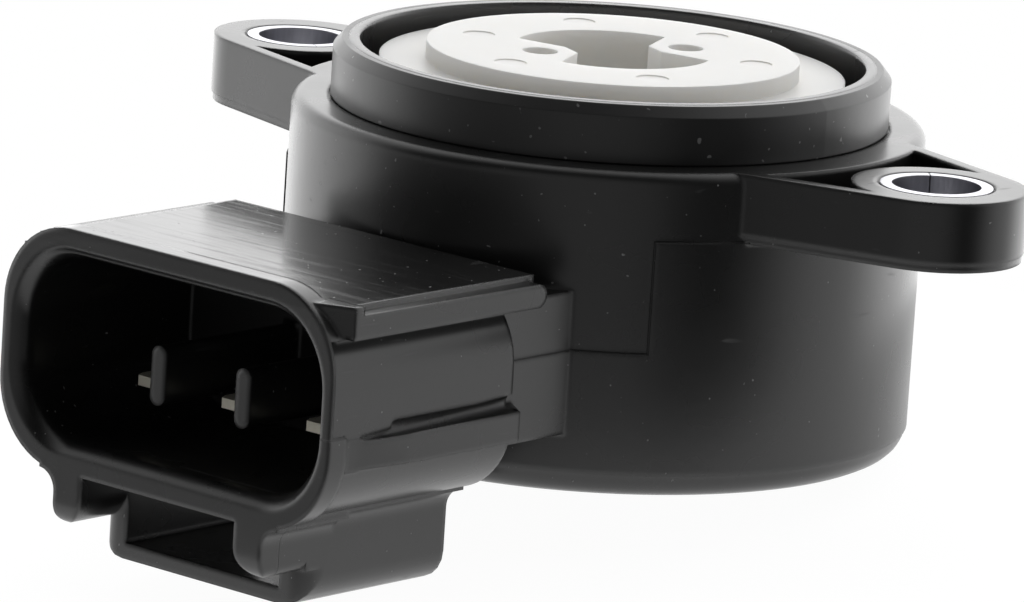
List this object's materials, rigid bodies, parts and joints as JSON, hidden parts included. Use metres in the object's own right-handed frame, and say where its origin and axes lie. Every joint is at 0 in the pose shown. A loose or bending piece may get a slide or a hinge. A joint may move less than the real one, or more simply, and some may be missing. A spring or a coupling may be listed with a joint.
{
  "type": "throttle position sensor",
  "caption": "Rotary throttle position sensor: round cup with a white rotor inside a sealed spigot, bolt ears with steel bushes and a side blade connector with a latch hood.",
  "frame": {"origin": "on the rotor's axis, on the flat mounting face, midway between the two fixing holes", "axes": "+Z along the rotor's axis towards the throttle body, X along the line of the fixing holes, -Y towards the connector's mouth"},
  "size_m": [0.064, 0.0593, 0.0292],
  "materials": {
    "black_plastic": "satin moulded, glass-filled",
    "black_rubber": "smooth moulded",
    "bush_steel": "bright plated",
    "white_plastic": "satin moulded",
    "bearing_bronze": "sintered",
    "washer_plastic": "plain",
    "spring_steel": "drawn",
    "inner_plastic": "plain",
    "contact_alloy": "bright",
    "board_laminate": "laminate",
    "resistor_ink": "screen-printed",
    "silver_ink": "screen-printed",
    "terminal_tin": "tin plated",
    "eyelet_brass": "tinned",
    "sealant": "cured bead"
  },
  "bodies": {
    "housing": {"housing": "black_plastic", "seal_ring": "black_rubber", "ear_bush_right": "bush_steel", "ear_bush_left": "bush_steel", "bearing_bush": "bearing_bronze", "resistor_board": "board_laminate", "resistor_track": "resistor_ink", "collector_track": "silver_ink", "terminal_supply": "terminal_tin", "terminal_signal": "terminal_tin", "terminal_ground": "terminal_tin", "board_eyelet_supply": "eyelet_brass", "board_eyelet_signal": "eyelet_brass", "board_eyelet_ground": "eyelet_brass", "rear_cover": "black_plastic", "cover_sealant": "sealant"},
    "rotor": {"rotor": "white_plastic", "thrust_washer": "washer_plastic", "retaining_ring": "spring_steel", "return_spring": "spring_steel", "wiper_carrier": "inner_plastic", "wiper_leaf": "contact_alloy"}
  },
  "joints": [
    {"name": "rotor_turn", "type": "hinge", "parent": "housing", "child": "rotor", "pos_m": [0, 0, 0], "axis": [0, 0, 1], "range_deg": [0, 110], "stiffness_Nm_per_rad": 0.012, "springref_deg": -51.57}
  ]
}
